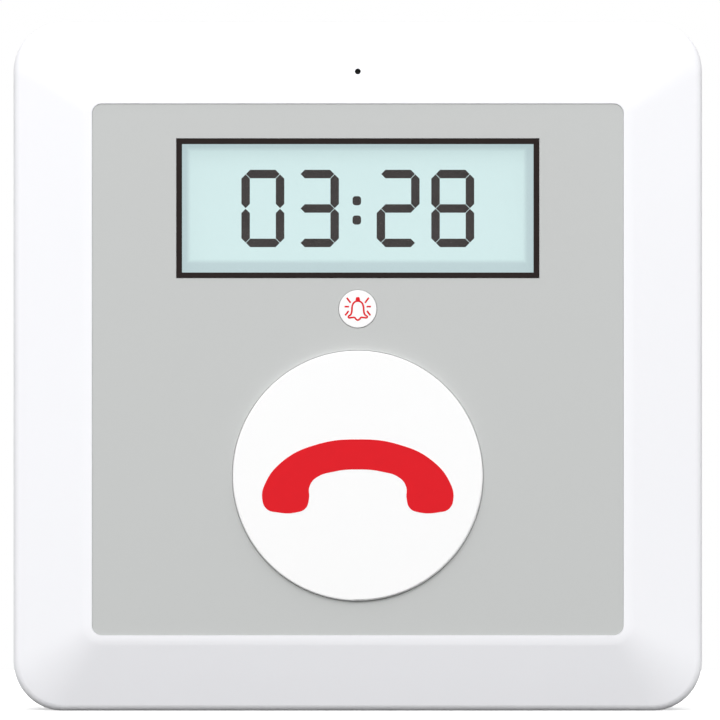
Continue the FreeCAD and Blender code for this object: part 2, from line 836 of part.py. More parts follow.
    tray = sketch(shell, "battery_tray", "battery_front")
    for side in ("-", ""):
        rectangle(tray, f"{side}(battery_width / 2 + battery_rib_gap + battery_rib / 2)",
                  "battery_foot + battery_height / 2", "battery_rib", "battery_height - 8")
    pad_back(shell, tray, "back_inside - battery_front")

    pin_hole = sketch(shell, "pin_hole", "stand_recess_width / 2 + stand_pin_seat", "YZ_Plane")
    circle(pin_hole, "hinge_level", "stand_hinge_height", "stand_pin_diameter + 2 * pin_fit")
    feature(shell, "Pocket", pin_hole, "stand_recess_width + 2 * stand_pin_seat")
    return keep(shell)


define("case_screw_seat", "back - case_screw_depth")
define("speaker_height", "middle + speaker_rise")
define("keyhole_height", "body_height - keyhole_inset")
define("stand_hinge_height", "middle - stand_hinge_drop")
define("stand_length", "stand_hinge_height - stand_base")
define("stand_recess_width", "stand_width + 2 * stand_side_gap")
define("stand_recess_floor", "back - stand_recess_depth")
define("stand_bay_level", "stand_recess_floor - stand_floor")
define("hinge_level", "back - stand_shy - stand_thickness / 2")
define("stand_foot", "stand_base")
define("stand_recess_foot", "stand_foot - stand_side_gap")
define("stand_heel_reach",
       "sqrt(stand_thickness * stand_thickness / 4 + stand_heel * stand_heel)")
define("stand_recess_top", "stand_hinge_height + stand_heel_reach + stand_side_gap")
define("stand_bay_middle", "(stand_recess_top + stand_recess_foot) / 2")
define("speaker_cup_bore", "speaker_diameter + 2 * speaker_cup_gap")
define("inlet_level", "board_back + inlet_axis_rise")
define("switch_level", "inlet_level")
define("knob_slot", "power_knob_thickness + 0.6")
define("knob_run", "power_knob_length + power_knob_travel + 0.6")
define("battery_back", "stand_bay_level - battery_foam")
define("battery_front", "battery_back - battery_thickness")
define("pad_side", "body_width / 2 - pad_side_inset")
PAD_SPOTS = [(side + "pad_side", height) for side in ("-", "")
             for height in ("pad_inset", "body_height - pad_inset")]

# ---------------------------------------------------------------------------
# Display
# ---------------------------------------------------------------------------
define("window_width", "opening_width + 2 * window_margin")
define("window_height", "opening_height + 2 * window_margin")
define("window_back", "ceiling + window_thickness")
define("glass_width", "display_width - 2 * display_line + 2 * glass_margin")
define("glass_height", "display_height - 2 * display_line + 2 * glass_margin")
define("glass_front", "window_back + display_air_gap")
define("glass_back", "glass_front + glass_thickness")
define("holder_bore_width", "glass_width + 2 * display_gap")
define("holder_bore_height", "glass_height + 2 * display_gap")
define("light_guide_width", "holder_bore_width - 2 * (lamp_gap + lamp_depth + lamp_clearance)")


def make_display():
    """Clear window, glass, holder, light guide, its lamps and the contact strips."""
    window = body("display_window")
    pane = sketch(window, "pane", "ceiling")
    rectangle(pane, "0", "display_middle", "window_width", "window_height")
    pad_back(window, pane, "window_thickness")
    keep(window)

    glass = body("lcd_glass")
    plate = sketch(glass, "plate", "glass_front")
    rectangle(plate, "0", "display_middle", "glass_width", "glass_height")
    pad_back(glass, plate, "glass_thickness")
    keep(glass)

    holder = body("lcd_holder")
    frame = sketch(holder, "frame", "window_back")
    rectangle(frame, "0", "display_middle", "holder_bore_width + 2 * holder_wall",
              "holder_bore_height + 2 * holder_wall")
    rectangle(frame, "0", "display_middle", "holder_bore_width", "holder_bore_height")
    pad_back(holder, frame, "board_front - window_back")
    ledges = sketch(holder, "ledges", "glass_back")
    for side in ("-", ""):
        rectangle(ledges, f"{side}(holder_bore_width / 2 - holder_lip / 2 + 0.1)",
                  "display_middle", "holder_lip + 0.2", "light_guide_height")
    pad_back(holder, ledges, "holder_lip")
    keep(holder)

    keep(block("lcd_light_guide", "-light_guide_width / 2", "glass_back + light_guide_gap",
               "display_middle - light_guide_height / 2", "light_guide_width",
               "board_front - glass_back - light_guide_gap", "light_guide_height"))
    lamps = []
    for side, corner in (("left", "-light_guide_width / 2 - lamp_gap - lamp_depth"),
                         ("right", "light_guide_width / 2 + lamp_gap")):
        lamps.append(block(f"backlight_led_{side}", corner, "board_front - lamp_rise",
                           "display_middle - lamp_length / 2", "lamp_depth", "lamp_rise",
                           "lamp_length"))
    keep(group("backlight_leds", lamps))
    strips = []
    for side, sign in (("upper", 1), ("lower", -1)):
        reach = "glass_height / 2 - contact_strip_width / 2"
        strips.append(block(f"contact_strip_{side}", "-contact_strip_length / 2", "glass_back",
                            f"display_middle + {sign} * ({reach}) - contact_strip_width / 2",
                            "contact_strip_length", "board_front - glass_back",
                            "contact_strip_width"))
    keep(group("lcd_contact_strips", strips))


# ---------------------------------------------------------------------------
# Keys and their switches
# ---------------------------------------------------------------------------
define("flange_front", "ceiling + key_rest_gap")
define("flange_back", "flange_front + flange_thickness")
define("help_front", "front - help_key_proud")
define("help_inside", "help_front + help_key_face")
define("help_radius", "help_key_diameter / 2")
define("alarm_front", "panel_seat - panel_thickness - alarm_key_proud")
define("alarm_radius", "alarm_key_diameter / 2")
define("switch_front", "board_front - switch_height")
define("stem_front", "switch_front - switch_stem_height")
define("stem_back", "switch_front + switch_stem_height / 2 + 0.2")
define("switch_bore", "switch_stem_diameter + 2 * running_clearance")
define("plunger_radius", "plunger_diameter / 2")
define("guide_bore", "plunger_radius + running_clearance")
define("guide_radius", "guide_bore + guide_wall")
define("guide_base_front", "board_front - guide_base_thickness")
define("guide_front", "help_inside + help_key_travel + 0.8")
define("coil_radius", "guide_radius + 0.3 + spring_wire / 2")
define("coil_front", "help_inside + spring_wire / 2 + 0.05")
define("coil_back", "guide_base_front - spring_wire / 2 - 0.05")
define("chamber_radius", "switch_side * 0.7071 + 0.3")
define("chamber_front", "switch_front - 0.5")


def make_help_key():
    """The large round key: a capped ring with a flange and a central plunger."""
    cap = turned("help_key_cap", "0", "help_key_middle", [
        ("0", "help_front"), ("help_radius", "help_front"),
        ("help_radius", "flange_front"), ("help_radius + help_key_flange", "flange_front"),
        ("help_radius + help_key_flange", "flange_back"),
        ("help_radius - help_key_skirt", "flange_back"),
        ("help_radius - help_key_skirt", "help_inside"),
        ("plunger_radius", "help_inside"), ("plunger_radius", "stem_front"),
        ("0", "stem_front")])
    doc.recompute()
    fillet(cap, cap.Tip, edges_on_level(cap.Tip.Shape, "help_front"), "help_key_edge_radius")
    keep(cap)

    keep(turned("help_key_guide", "0", "help_key_middle", [
        ("chamber_radius", "board_front"), ("guide_base_diameter / 2", "board_front"),
        ("guide_base_diameter / 2", "guide_base_front"), ("guide_radius", "guide_base_front"),
        ("guide_radius", "guide_front"), ("guide_bore", "guide_front"),
        ("guide_bore", "chamber_front"), ("chamber_radius", "chamber_front")]))

    make_coil("help_key_spring", "help_key_middle", "coil_radius", "coil_front",
              "coil_back - coil_front", "spring_wire")


def make_alarm_key():
    """The small round key under the display."""
    cap = turned("alarm_key_cap", "0", "alarm_key_middle", [
        ("0", "alarm_front"), ("alarm_radius", "alarm_front"),
        ("alarm_radius", "flange_front"), ("alarm_radius + alarm_key_flange", "flange_front"),
        ("alarm_radius + alarm_key_flange", "flange_back"),
        ("alarm_key_stem / 2", "flange_back"), ("alarm_key_stem / 2", "stem_front"),
        ("0", "stem_front")])
    doc.recompute()
    fillet(cap, cap.Tip, edges_on_level(cap.Tip.Shape, "alarm_front"), "alarm_edge_radius")
    keep(cap)


def make_switch(name, height):
    """A push switch: a square body on the board and a sliding stem."""
    housing = body(f"{name}_switch_body")
    foot = sketch(housing, "foot", "board_front")
    rectangle(foot, "0", height, "switch_side", "switch_side")
    pad_front(housing, foot, "switch_height")
    bore = circles(housing, "bore", "switch_front", [("0", height)], "switch_bore")
    cut_back(housing, bore, "switch_bore_depth")
    keep(housing)
    keep(rod(f"{name}_switch_stem", "0", "stem_front", height, "switch_stem_diameter",
             "stem_back - stem_front"))


def make_microphone():
    """Capsule with two pins, held in a rubber boot behind the small sound hole."""
    keep(turned("microphone_boot", "0", "mic_middle", [
        ("mic_hole_diameter", "boot_front"), ("boot_outer / 2", "boot_front"),
        ("boot_outer / 2", "mic_front + mic_length"), ("mic_diameter / 2", "mic_front + mic_length"),
        ("mic_diameter / 2", "mic_front"), ("mic_hole_diameter", "mic_front")]))
    capsule = body("microphone")
    can = circles(capsule, "can", "mic_front", [("0", "mic_middle")], "mic_diameter")
    pad_back(capsule, can, "mic_length")
    pins = circles(capsule, "pins", "mic_front + mic_length - 0.2",
                   [("-mic_pin_pitch / 2", "mic_middle"), ("mic_pin_pitch / 2", "mic_middle")],
                   "mic_pin")
    pad_back(capsule, pins, "board_front - mic_front - mic_length + 0.2")
    keep(capsule)

# ---------------------------------------------------------------------------
# Main board and what it carries
# ---------------------------------------------------------------------------
define("screw_hole", "board_screw_diameter + 0.3")


def make_main_board():
    board = body("main_board")
    outline = sketch(board, "outline", "board_front")
    polygon(outline, [
        ("board_left", "board_foot"), ("board_right", "board_foot"), ("board_right", "tab_low"),
        ("tab_right", "tab_low"), ("tab_right", "tab_high"), ("board_right", "tab_high"),
        ("board_right", "board_top"), ("board_left", "board_top")])
    for u, v in BOARD_SCREWS:
        circle(outline, u, v, "screw_hole")
    pad_back(board, outline, "board_thickness")
    keep(board)


def make_board_parts():
    """Modules, chips and capacitors on the back of the main board."""
    module = block("radio_can", "module_left", "board_back", "module_foot",
                   "module_side", "module_rise", "module_side")
    rim = block("radio_can_foot", "module_left - module_rim", "board_back",
                "module_foot - module_rim", "module_side + 2 * module_rim", "module_rim",
                "module_side + 2 * module_rim")
    keep(combine("Fuse", "cellular_module", module, rim))
    keep(block("control_chip", "chip_left", "board_back", "chips_foot", "chip_side",
               "chip_rise", "chip_side"))
    card = block("receiver_card", "card_left", "board_back", "card_foot", "card_width",
                 "card_thickness", "card_height")
    can = block("receiver_can", "card_left + card_can_side / 2", "board_back + card_thickness",
                "card_foot + card_can_side / 2", "card_can_side", "chip_rise", "card_can_side")
    keep(combine("Fuse", "pendant_receiver", card, can))
    tray = block("sim_tray", "sim_left", "board_back", "chips_foot",
                 "sim_width", "sim_rise", "sim_height")
    mouth = block("sim_mouth", "sim_left - 1", "board_back + sim_mouth",
                  "chips_foot + 1", "sim_width", "sim_mouth", "sim_height - 2")
    keep(combine("Cut", "sim_card_holder", tray, mouth))
    cans = [rod(f"capacitor_{index}", f"capacitor_left + {index} * capacitor_pitch",
                "board_back", "chips_foot + capacitor_diameter", "capacitor_diameter",
                "capacitor_height") for index in range(2)]
    keep(group("capacitors", cans))


define("module_foot", "speaker_height - module_side * 0.7")
define("card_foot", "speaker_height - card_height * 0.45")
define("chips_foot", "help_key_middle + chips_rise")
define("module_left", "board_left + module_inset")
define("card_left", "board_right - card_inset - card_width")
define("sim_left", "board_left + sim_inset")
define("capacitor_left", "board_right - capacitor_inset - capacitor_pitch")

# ---------------------------------------------------------------------------
# Power inlet and power switch, on the right-hand side
# ---------------------------------------------------------------------------
define("inlet_face", "body_width / 2 - wall - inlet_wall_gap")
define("knob_tip", "body_width / 2 - power_knob_shy")
define("knob_root", "inlet_face - power_slot_depth + 0.2")


def make_power_inlet():
    box = block("inlet_box", "inlet_face - inlet_length", "board_back",
                "inlet_height - inlet_side / 2", "inlet_length", "inlet_box_height", "inlet_side")
    bore = rod("inlet_bore", "inlet_face - inlet_bore_depth", "inlet_level", "inlet_height",
               "inlet_bore", "inlet_bore_depth + 1", "x")
    keep(combine("Cut", "power_inlet", box, bore))
    keep(rod("power_inlet_pin", "inlet_face - inlet_bore_depth", "inlet_level", "inlet_height",
             "inlet_pin", "inlet_pin_length", "x"))


def make_power_switch():
    box = block("power_switch_box", "inlet_face - power_switch_reach", "board_back",
                "power_switch_height - power_switch_length / 2", "power_switch_reach",
                "switch_level + power_switch_back - board_back", "power_switch_length")
    slot = block("power_switch_slot", "inlet_face - power_slot_depth",
                 "switch_level - knob_slot / 2", "power_switch_height - knob_run / 2",
                 "power_slot_depth + 1", "knob_slot", "knob_run")
    keep(combine("Cut", "power_switch_body", box, slot))
    knob_middle = "power_switch_height - power_knob_travel / 2"
    blank = block("power_knob_blank", "knob_root", "switch_level - power_knob_thickness / 2",
                  f"{knob_middle} - power_knob_length / 2", "knob_tip - knob_root",
                  "power_knob_thickness", "power_knob_length")
    grooves = [block(f"power_knob_groove_{index}", "knob_tip - knob_groove",
                     "switch_level - power_knob_thickness",
                     f"{knob_middle} + ({index} - 1.5) * 2 * knob_groove", "2 * knob_groove",
                     "2 * power_knob_thickness", "knob_groove") for index in range(3)]
    keep(combine("Cut", "power_switch_knob", blank, group("power_knob_grooves", grooves)))


# ---------------------------------------------------------------------------
# Loudspeaker, behind the slots in the rear shell
# ---------------------------------------------------------------------------
define("speaker_radius", "speaker_diameter / 2")
define("speaker_front", "back_inside - speaker_gasket")
define("basket_face", "speaker_front - speaker_depth + magnet_thickness")
define("basket_step", "speaker_front - speaker_flange")
define("magnet_radius", "magnet_diameter / 2")
define("cone_edge", "speaker_radius - speaker_rim")
define("cone_rim", "cone_edge - 0.1")


def make_speaker():
    keep(turned("speaker_gasket", "0", "speaker_height", [
        ("cone_edge", "speaker_front"), ("speaker_radius", "speaker_front"),
        ("speaker_radius", "back_inside"), ("cone_edge", "back_inside")]))
    keep(turned("speaker_frame", "0", "speaker_height", [
        ("0", "basket_face"), ("magnet_radius + 1", "basket_face"),
        ("speaker_radius - 2", "basket_step"), ("speaker_radius", "basket_step"),
        ("speaker_radius", "speaker_front"), ("cone_edge", "speaker_front"),
        ("cone_edge", "speaker_front - 0.6"), ("magnet_radius + 0.5", "basket_face + 0.8"),
        ("0", "basket_face + 0.8")]))
    keep(turned("speaker_cone", "0", "speaker_height", [
        ("0", "basket_face + 1.1"), ("magnet_radius * 0.6", "basket_face + 1.1"),
        ("cone_rim", "speaker_front - 0.4"), ("cone_rim", "speaker_front - 0.1"),
        ("magnet_radius * 0.6", "basket_face + 1.6"), ("0", "basket_face + 1.6")]))
    keep(rod("speaker_magnet", "0", "basket_face - magnet_thickness", "speaker_height",
             "magnet_diameter", "magnet_thickness"))


# ---------------------------------------------------------------------------
# Battery, plugs, wires and aerials
# ---------------------------------------------------------------------------
define("battery_top", "battery_foot + battery_height")
define("plug_level", "board_back + plug_depth / 2")
define("speaker_foot", "speaker_height - speaker_radius")
define("speaker_plug_foot", "speaker_foot - speaker_plug_drop")
define("battery_plug_foot", "battery_top + battery_plug_rise")
define("aerial_level", "body_height - wall - aerial_thickness")
define("aerial_front", "seam + tongue_height + aerial_gap")
define("module_socket", "module_left + module_side - socket_inset")
define("card_socket", "card_left + card_width - socket_inset")
define("aerial_width", "back_inside - aerial_back_gap - aerial_front")


def make_battery():
    pack = body("battery_pack")
    outline = sketch(pack, "outline", "battery_front")
    rectangle(outline, "0", "battery_foot + battery_height / 2", "battery_width",
              "battery_height", "battery_corner")
    pad_back(pack, outline, "battery_thickness")
    keep(pack)
    keep(block("battery_foam", "-battery_width * 0.4", "battery_back",
               "battery_foot + foam_inset", "battery_width * 0.8", "battery_foam",
               "battery_height - 2 * foam_inset"))


def make_plugs():
    keep(block("speaker_plug", "-plug_width / 2", "board_back", "speaker_plug_foot",
               "plug_width", "plug_depth", "plug_height"))
    keep(block("battery_plug", "battery_plug_left", "board_back", "battery_plug_foot",
               "plug_width", "plug_depth", "plug_height"))


def make_wires():
    """Leads of the loudspeaker and the battery, and the aerials."""
    for side, label in ((-1, "red"), (1, "black")):
        shift = f"{side} * wire_diameter"
        pack_lead = f"battery_width / 2 - battery_lead_inset + {shift}"
        plug_lead = f"battery_plug_left + plug_width / 2 + {shift}"
        tab = "speaker_foot + speaker_lead_inset"
        wire(f"speaker_wire_{label}", [
            (f"{shift} * 1.2", "basket_step - solder_depth", tab),
            (f"{shift} * 1.2", "basket_step - lead_bend", f"{tab} - solder_depth"),
            (shift, "plug_level", "speaker_foot - lead_bend"),
            (shift, "plug_level", "speaker_plug_foot + plug_height")], "wire_diameter")
        wire(f"battery_wire_{label}", [
            (pack_lead, "battery_front + battery_lead_depth", "battery_top"),
            (pack_lead, "battery_front + battery_lead_depth", f"battery_top + lead_lift - {shift}"),
            (plug_lead, "plug_level", f"battery_top + lead_lift - {shift}"),
            (plug_lead, "plug_level", "battery_plug_foot")], "wire_diameter")
    module_top = "board_back + module_rise"
    module_lead = "speaker_height + module_lead_rise"
    wire("cellular_aerial_lead", [
        ("module_socket", module_top, module_lead),
        ("module_socket", f"{module_top} + lead_lift", module_lead),
        ("module_socket + lead_drift", f"{module_top} + lead_lift + lead_drift / 2",
         f"{module_lead} + module_lead_climb"),
        ("module_socket + 3 * lead_drift", "back_inside - lead_bend",
         "aerial_level - aerial_lead_drop"),
        ("module_socket + 3 * lead_drift", "back_inside - lead_bend", "aerial_level")],
        "coax_diameter")
    aerial_foot = "speaker_height + receiver_lead_rise"
    wire("receiver_aerial", [
        ("card_socket", "board_back + card_thickness", aerial_foot),
        ("card_socket", "board_back + lead_bend", aerial_foot),
        ("card_socket - 2 * lead_drift", "board_back + lead_bend + lead_drift",
         f"{aerial_foot} + receiver_lead_climb"),
        ("card_socket - receiver_aerial_turn", "board_back + lead_bend + lead_drift",
         "aerial_level - lead_bend"),
        ("card_socket - receiver_aerial_length", "board_back + lead_bend",
         "aerial_level - lead_bend - lead_drift / 2")], "wire_diameter")
    keep(block("cellular_aerial", "-aerial_left", "aerial_front",
               "aerial_level", "aerial_length", "aerial_width", "aerial_thickness"))


# ---------------------------------------------------------------------------
# Fasteners, rear pads and stand
# ---------------------------------------------------------------------------
def make_screws(label, spots, head_seat, head, head_height, shank, length):
    """Cross-head screws, all in one node."""
    owner = body(label)
    heads = circles(owner, "heads", head_seat, spots, head)
    pad_back(owner, heads, head_height)
    shanks = circles(owner, "shanks", f"{head_seat} + 0.1", spots, shank)
    pad_front(owner, shanks, f"{length} + 0.1")
    for width, height in ((f"{head} * 0.6", "cross_slot"), ("cross_slot", f"{head} * 0.6")):
        cross = sketch(owner, "cross", f"{head_seat} + {head_height}")
        for u, v in spots:
            rectangle(cross, u, v, width, height)
        cut_front(owner, cross, f"{head_height} * 0.6")
    keep(owner)


def make_rear_pads():
    """Four rubber pads that keep the back off the wall."""
    pads = body("rear_pads")
    discs = pad_front(pads, circles(pads, "pads", "back + pad_proud", PAD_SPOTS, "pad_diameter"),
                      "pad_thickness")
    doc.recompute()
    fillet(pads, discs, edges_on_level(discs.Shape, "back + pad_proud"), "pad_edge_radius")
    keep(pads)


def make_stand():
    """Folding leg, its steel pin and its rubber foot."""
    leg = body("stand_leg")
    plate = sketch(leg, "plate", "back - stand_shy")
    rectangle(plate, "0", "(stand_foot + stand_hinge_height + stand_heel) / 2", "stand_width",
              "stand_length + stand_heel")
    slab = pad_front(leg, plate, "stand_thickness")
    doc.recompute()
    fillet(leg, slab, edges_on_level(slab.Shape, "back - stand_shy"), "stand_edge_radius")
    foot = sketch(leg, "foot_slot", "back - stand_shy")
    rectangle(foot, "0", "stand_foot + stand_foot_height / 2 - 0.5", "foot_width",
              "stand_foot_height + 1")
    cut_front(leg, foot, "stand_thickness")
    bore = sketch(leg, "pin_bore", "stand_width / 2", "YZ_Plane")
    circle(bore, "hinge_level", "stand_hinge_height", "stand_pin_diameter + running_clearance")
    feature(leg, "Pocket", bore, "stand_width")
    for step in range(3):
        groove = sketch(leg, f"grip_{step}", "back - stand_shy")
        rectangle(groove, "0", f"stand_foot + stand_foot_height + {step + 1} * grip_pitch",
                  "grip_reach", "grip_width", "grip_width * 0.45")
        cut_front(leg, groove, "grip_depth")
    keep(leg)
    keep(rod("stand_hinge_pin", "-stand_recess_width / 2 - stand_pin_seat", "hinge_level",
             "stand_hinge_height", "stand_pin_diameter",
             "stand_recess_width + 2 * stand_pin_seat", "x"))
    keep(block("stand_foot_pad", "-foot_width / 2", "back - stand_shy - stand_thickness",
               "stand_foot", "foot_width", "stand_thickness", "stand_foot_height"))


define("foot_width", "stand_width - 2 * stand_foot_inset")
define("grip_reach", "stand_width - 2 * grip_inset")

make_front_housing()
make_front_fascia()
make_display_bezel()
make_display()
make_help_key()
make_switch("help", "help_key_middle")
make_alarm_key()
make_switch("alarm", "alarm_key_middle")
make_microphone()
make_main_board()
make_board_parts()
make_power_inlet()
make_power_switch()
make_speaker()
make_battery()
make_plugs()
make_wires()
make_screws("board_screws", BOARD_SCREWS, "board_back", "board_screw_head",
            "board_screw_head_height", "board_screw_diameter", "board_screw_length")
make_rear_housing()
make_screws("housing_screws", CASE_SCREWS, "case_screw_seat", "case_screw_head",
            "case_screw_head_height", "case_screw_diameter",
            "case_screw_seat - seam + case_screw_bite")
make_rear_pads()
make_stand()

# ---------------------------------------------------------------------------
# Build, check and export
# ---------------------------------------------------------------------------
doc.recompute()
for item in doc.Objects:
    if "Invalid" in item.State or "Error" in item.State:
        raise RuntimeError(f"{item.Name} did not build: {item.State}")
for item in SUBPARTS:
    if item.Shape.isNull() or not item.Shape.isValid() or not item.Shape.Solids:
        raise RuntimeError(f"{item.Label} has no valid solid")

os.makedirs("parts", exist_ok=True)
for item in SUBPARTS:
    item.Shape.exportStep(os.path.join("parts", item.Label + ".step"))
    print(item.Label, len(item.Shape.Solids), "solid(s)", round(item.Shape.Volume, 1), "mm3")
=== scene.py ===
# %% [markdown]
# # A medical alert base station
# This lesson dresses a finished mechanical model of a square white alert unit: it has a
# clock display, a large round help key and a small alarm key on a light grey sheet.
# The model's own solids stay where they are and get their finishes here. Only what is
# printed or shown on them is modelled new: the clock's digits and colon, the two red
# signs, and the black disc of the microphone, which is partly its mesh and partly painted
# shade in its sound hole. Every length is in metres.

# %% Load the model
import json
import math

import bmesh
import bpy
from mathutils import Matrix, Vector


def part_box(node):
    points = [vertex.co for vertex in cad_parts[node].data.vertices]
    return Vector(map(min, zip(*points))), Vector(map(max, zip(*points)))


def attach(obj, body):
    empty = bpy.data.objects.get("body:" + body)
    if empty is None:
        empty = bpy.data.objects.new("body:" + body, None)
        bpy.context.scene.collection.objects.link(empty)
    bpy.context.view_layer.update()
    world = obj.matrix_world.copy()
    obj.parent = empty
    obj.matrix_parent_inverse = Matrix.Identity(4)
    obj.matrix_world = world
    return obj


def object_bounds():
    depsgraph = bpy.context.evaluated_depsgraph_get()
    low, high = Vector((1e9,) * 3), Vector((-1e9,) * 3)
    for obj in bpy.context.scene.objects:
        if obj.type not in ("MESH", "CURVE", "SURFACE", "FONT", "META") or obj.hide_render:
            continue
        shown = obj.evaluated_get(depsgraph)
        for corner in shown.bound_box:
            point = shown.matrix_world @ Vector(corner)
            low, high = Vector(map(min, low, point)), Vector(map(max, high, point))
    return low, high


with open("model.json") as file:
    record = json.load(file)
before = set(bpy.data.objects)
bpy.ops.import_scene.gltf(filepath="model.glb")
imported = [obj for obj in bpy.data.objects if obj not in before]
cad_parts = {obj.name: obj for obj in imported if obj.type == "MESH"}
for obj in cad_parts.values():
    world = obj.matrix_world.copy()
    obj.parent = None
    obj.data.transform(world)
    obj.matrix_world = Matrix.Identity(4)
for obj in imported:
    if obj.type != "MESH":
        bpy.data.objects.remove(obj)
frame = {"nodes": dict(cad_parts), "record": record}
cad_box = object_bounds()
MM = 0.001
nodes = frame["nodes"]

# %% [markdown]
# The places of the new pieces come from the solids they sit on. What matters here is
# the front of the keys, of the display glass and of the microphone, so their boxes are
# measured once and kept under plain names.

# %% Measure the solids that carry new pieces
def centre(node):
    low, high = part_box(node)
    return (low + high) / 2


GLASS_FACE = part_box("lcd_glass")[0].y
DISPLAY = centre("display_bezel")
HELP = centre("help_key_cap")
HELP_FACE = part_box("help_key_cap")[0].y
ALARM = centre("alarm_key_cap")
ALARM_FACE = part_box("alarm_key_cap")[0].y
MIC = centre("microphone")
MIC_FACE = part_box("microphone")[0].y
print("display centre", tuple(round(v / MM, 2) for v in DISPLAY))
print("help key face", round(HELP_FACE / MM, 2), "alarm key face", round(ALARM_FACE / MM, 2))

# %% [markdown]
# ## Camera
# The unit is seen square on, with hardly any perspective. A long lens far away does
# that, and unlike an orthographic camera it also serves the views from other sides.
# The picture is square, so the width of the view at the unit's face sets the lens.

# %% Camera
VIEW_WIDTH = 146.1 * MM
VIEW_HEIGHT = 71.3 * MM
VIEW_SIDE = 0.45 * MM
VIEW_DISTANCE = 2.4
SENSOR = 36
FAR_END = 20
camera_data = bpy.data.cameras.new("camera")
camera = bpy.data.objects.new("camera", camera_data)
bpy.context.scene.collection.objects.link(camera)
front_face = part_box("front_housing")[0].y
camera.location = (VIEW_SIDE, front_face - VIEW_DISTANCE, VIEW_HEIGHT)
camera.rotation_euler = (math.radians(90), 0, 0)
camera_data.sensor_width = SENSOR
camera_data.lens = SENSOR * VIEW_DISTANCE / VIEW_WIDTH
camera_data.clip_end = FAR_END
bpy.context.scene.camera = camera
print("lens", round(camera_data.lens), "mm")

# %% [markdown]
# ## A small language for materials
# A shader is arithmetic on sockets. `Field` wraps one socket that holds a number, so
# that `1 - mask` or `grain * 0.2 + dust` adds the Math nodes by itself. `Nodes` holds a
# node tree, and its one method `add` makes any other node from its type, its settings
# and the values or links of its inputs. `Finish` is a material built on that, with the
# few patterns that plastics and metals need.

# %% Field: numbers that vary over a surface
class Field:
    def __init__(self, nodes, socket):
        self.nodes = nodes
        self.socket = socket

    def math(self, operation, *others):
        node = self.nodes.add("ShaderNodeMath", {"operation": operation},
                              dict(enumerate((self,) + others)))
        return Field(self.nodes, node.outputs[0])

    def __add__(self, other):
        return self.math("ADD", other)

    def __mul__(self, other):
        return self.math("MULTIPLY", other)

    def __sub__(self, other):
        return self.math("SUBTRACT", other)

    def __truediv__(self, other):
        return self.math("DIVIDE", other)

    def __rsub__(self, other):
        return self * -1 + other

    def __abs__(self):
        return self.math("ABSOLUTE")

    __radd__ = __add__
    __rmul__ = __mul__

    def above(self, edge, soft):
        """0 below the edge and 1 above it, blended over the soft width."""
        ramp = self.nodes.add("ShaderNodeMapRange", {"interpolation_type": "SMOOTHSTEP"}, {
            "Value": self, "From Min": edge - soft / 2, "From Max": edge + soft / 2})
        return Field(self.nodes, ramp.outputs["Result"])

    def larger(self, other):
        return self.math("MAXIMUM", other)


# %% Nodes: one node tree
class Nodes:
    def __init__(self, tree, coordinates):
        self.tree = tree
        self.place = self.add("ShaderNodeTexCoord").outputs[coordinates]

    def link(self, target, value):
        if isinstance(value, Field):
            value = value.socket
        if isinstance(value, bpy.types.NodeSocket):
            self.tree.links.new(value, target)
        elif isinstance(value, tuple) and len(value) == 3 and len(target.default_value) == 4:
            target.default_value = (*value, 1)
        else:
            target.default_value = value

    def add(self, kind, settings=None, inputs=None):
        node = self.tree.nodes.new(kind)
        for name, setting in (settings or {}).items():
            setattr(node, name, setting)
        for name, value in (inputs or {}).items():
            self.link(node.inputs[name], value)
        return node

    def axes(self):
        node = self.add("ShaderNodeSeparateXYZ", None, {0: self.place})
        return [Field(self, socket) for socket in node.outputs]

    def in_view(self):
        """1 for what the camera sees, straight or in a reflection or through glass."""
        rays = self.add("ShaderNodeLightPath").outputs
        straight = Field(self, rays["Is Camera Ray"])
        return straight.larger(rays["Is Glossy Ray"]).larger(rays["Is Transmission Ray"])


# %% Finish: one material
class Finish(Nodes):
    def __init__(self, name, color, roughness=0.5, metallic=0.0):
        self.material = bpy.data.materials.new(name)
        self.material.use_nodes = True
        super().__init__(self.material.node_tree, "Object")
        self.shader = self.tree.nodes["Principled BSDF"]
        self.set("Base Color", color)
        self.set("Roughness", roughness)
        self.set("Metallic", metallic)

    def set(self, name, value):
        self.link(self.shader.inputs[name], value)

    def noise(self, size, detail=2.0, stretch=(1, 1, 1)):
        """Cloudy noise from 0 to 1 whose lumps are about `size` across."""
        place = self.place
        if stretch != (1, 1, 1):
            place = self.add("ShaderNodeMapping", None, {
                "Vector": place, "Scale": stretch}).outputs["Vector"]
        node = self.add("ShaderNodeTexNoise", None, {
            "Vector": place, "Scale": 1 / size, "Detail": detail, "Roughness": 0.55})
        return Field(self, node.outputs["Fac"])

    def cells(self, size):
        """Distance to the nearest of scattered points, from 0 up, in cells."""
        node = self.add("ShaderNodeTexVoronoi", None, {"Vector": self.place, "Scale": 1 / size})
        return Field(self, node.outputs["Distance"])

    def blend(self, factor, first, second):
        node = self.add("ShaderNodeMix", {"data_type": "RGBA"})
        self.link(node.inputs[0], factor)
        self.link(node.inputs[6], first)
        self.link(node.inputs[7], second)
        return node.outputs[2]

    def bump(self, height, depth):
        """Relief whose full height is `depth`."""
        node = self.add("ShaderNodeBump", None, {
            "Height": height, "Distance": depth, "Strength": 1.0})
        self.set("Normal", node.outputs["Normal"])
        return self


def shade(color, factor):
    """The colour made lighter or darker, and never past white."""
    return tuple(min(1.0, c * factor) for c in color)


# %% [markdown]
# ## White casing
# The shells are moulded ABS. The mould is spark-eroded, which leaves a very fine satin
# texture, and years on a shelf add a faint cloudiness and a few specks of dust. The
# colour moves by one or two percent only: white plastic that varies more looks dirty.

# %% Moulded white plastic
WHITE = (0.925, 0.927, 0.957)
DUST = (0.50, 0.49, 0.47)
ABS_INDEX = 1.53


